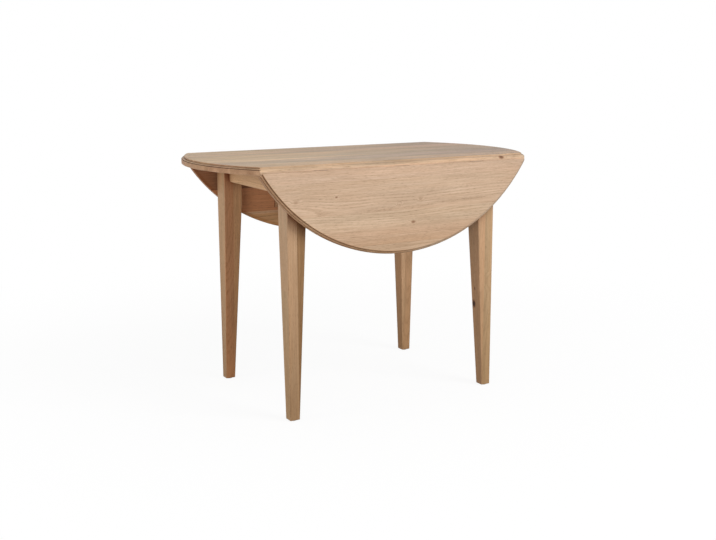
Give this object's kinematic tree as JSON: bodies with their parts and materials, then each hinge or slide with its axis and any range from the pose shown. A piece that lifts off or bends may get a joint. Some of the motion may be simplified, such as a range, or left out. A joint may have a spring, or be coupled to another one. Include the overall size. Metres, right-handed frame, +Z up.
{
  "type": "drop-leaf table",
  "caption": "Round oak drop-leaf table with a fixed middle panel, hinged half-moon leaves, a moulded edge and tapered legs.",
  "frame": {"origin": "on the floor under the middle of the table", "axes": "+X along the hinge lines towards the right, +Y across them towards the rear leaf, +Z up"},
  "size_m": [1.0739, 0.588, 0.75],
  "materials": {
    "oak": "clear matt oil",
    "zinc_plated_steel": "zinc plated, satin",
    "nylon": "moulded, matt"
  },
  "bodies": {
    "root": {"centre_top": "oak", "side_rail_front": "oak", "side_rail_rear": "oak", "end_rail_left": "oak", "end_rail_right": "oak", "top_buttons": "oak", "hinge_screws_top": "zinc_plated_steel", "hinge_pins_front": "zinc_plated_steel", "hinge_pins_rear": "zinc_plated_steel", "prop_pins": "zinc_plated_steel", "prop_bracket_screws": "zinc_plated_steel", "hanger_bolts": "zinc_plated_steel", "hanger_washers": "zinc_plated_steel", "hanger_nuts": "zinc_plated_steel", "corner_block_screws": "zinc_plated_steel", "top_button_screws": "zinc_plated_steel", "foot_glides": "nylon", "hinge_top_flap_front_1": "zinc_plated_steel", "hinge_top_flap_front_2": "zinc_plated_steel", "hinge_top_flap_front_3": "zinc_plated_steel", "hinge_top_flap_rear_1": "zinc_plated_steel", "hinge_top_flap_rear_2": "zinc_plated_steel", "hinge_top_flap_rear_3": "zinc_plated_steel", "leg_front_left": "oak", "corner_block_front_left": "oak", "prop_bracket_front_left": "zinc_plated_steel", "leg_front_right": "oak", "corner_block_front_right": "oak", "prop_bracket_front_right": "zinc_plated_steel", "leg_rear_left": "oak", "corner_block_rear_left": "oak", "prop_bracket_rear_left": "zinc_plated_steel", "leg_rear_right": "oak", "corner_block_rear_right": "oak", "prop_bracket_rear_right": "zinc_plated_steel"},
    "leaf_front": {"leaf_front": "oak", "hinge_screws_leaf_front": "zinc_plated_steel", "prop_keep_screws_front": "zinc_plated_steel", "hinge_leaf_flap_front_1": "zinc_plated_steel", "hinge_leaf_flap_front_2": "zinc_plated_steel", "hinge_leaf_flap_front_3": "zinc_plated_steel", "prop_keep_front_left": "oak", "prop_keep_front_right": "oak"},
    "leaf_rear": {"leaf_rear": "oak", "hinge_screws_leaf_rear": "zinc_plated_steel", "prop_keep_screws_rear": "zinc_plated_steel", "hinge_leaf_flap_rear_1": "zinc_plated_steel", "hinge_leaf_flap_rear_2": "zinc_plated_steel", "hinge_leaf_flap_rear_3": "zinc_plated_steel", "prop_keep_rear_left": "oak", "prop_keep_rear_right": "oak"},
    "prop_arm_front_left": {"prop_arm_front_left": "oak"},
    "prop_arm_front_right": {"prop_arm_front_right": "oak"},
    "prop_arm_rear_left": {"prop_arm_rear_left": "oak"},
    "prop_arm_rear_right": {"prop_arm_rear_right": "oak"}
  },
  "joints": [
    {"name": "leaf_front_hinge", "type": "hinge", "parent": "root", "child": "leaf_front", "pos_m": [0, -0.277, 0.733], "axis": [-1, 0, 0], "range_deg": [0, 90]},
    {"name": "leaf_rear_hinge", "type": "hinge", "parent": "root", "child": "leaf_rear", "pos_m": [0, 0.277, 0.733], "axis": [1, 0, 0], "range_deg": [0, 90]},
    {"name": "prop_front_left_pivot", "type": "hinge", "parent": "root", "child": "prop_arm_front_left", "pos_m": [-0.12, -0.251, 0.685], "axis": [-1, 0, 0], "range_deg": [0, 102.13]},
    {"name": "prop_front_right_pivot", "type": "hinge", "parent": "root", "child": "prop_arm_front_right", "pos_m": [0.12, -0.251, 0.685], "axis": [-1, 0, 0], "range_deg": [0, 102.13]},
    {"name": "prop_rear_left_pivot", "type": "hinge", "parent": "root", "child": "prop_arm_rear_left", "pos_m": [-0.12, 0.251, 0.685], "axis": [1, 0, 0], "range_deg": [0, 102.13]},
    {"name": "prop_rear_right_pivot", "type": "hinge", "parent": "root", "child": "prop_arm_rear_right", "pos_m": [0.12, 0.251, 0.685], "axis": [1, 0, 0], "range_deg": [0, 102.13]}
  ],
  "couplings": [
    {"joint": "prop_front_left_pivot", "follows": "leaf_front_hinge", "ratio": 1.1347},
    {"joint": "prop_front_right_pivot", "follows": "leaf_front_hinge", "ratio": 1.1347},
    {"joint": "prop_rear_left_pivot", "follows": "leaf_rear_hinge", "ratio": 1.1347},
    {"joint": "prop_rear_right_pivot", "follows": "leaf_rear_hinge", "ratio": 1.1347}
  ]
}
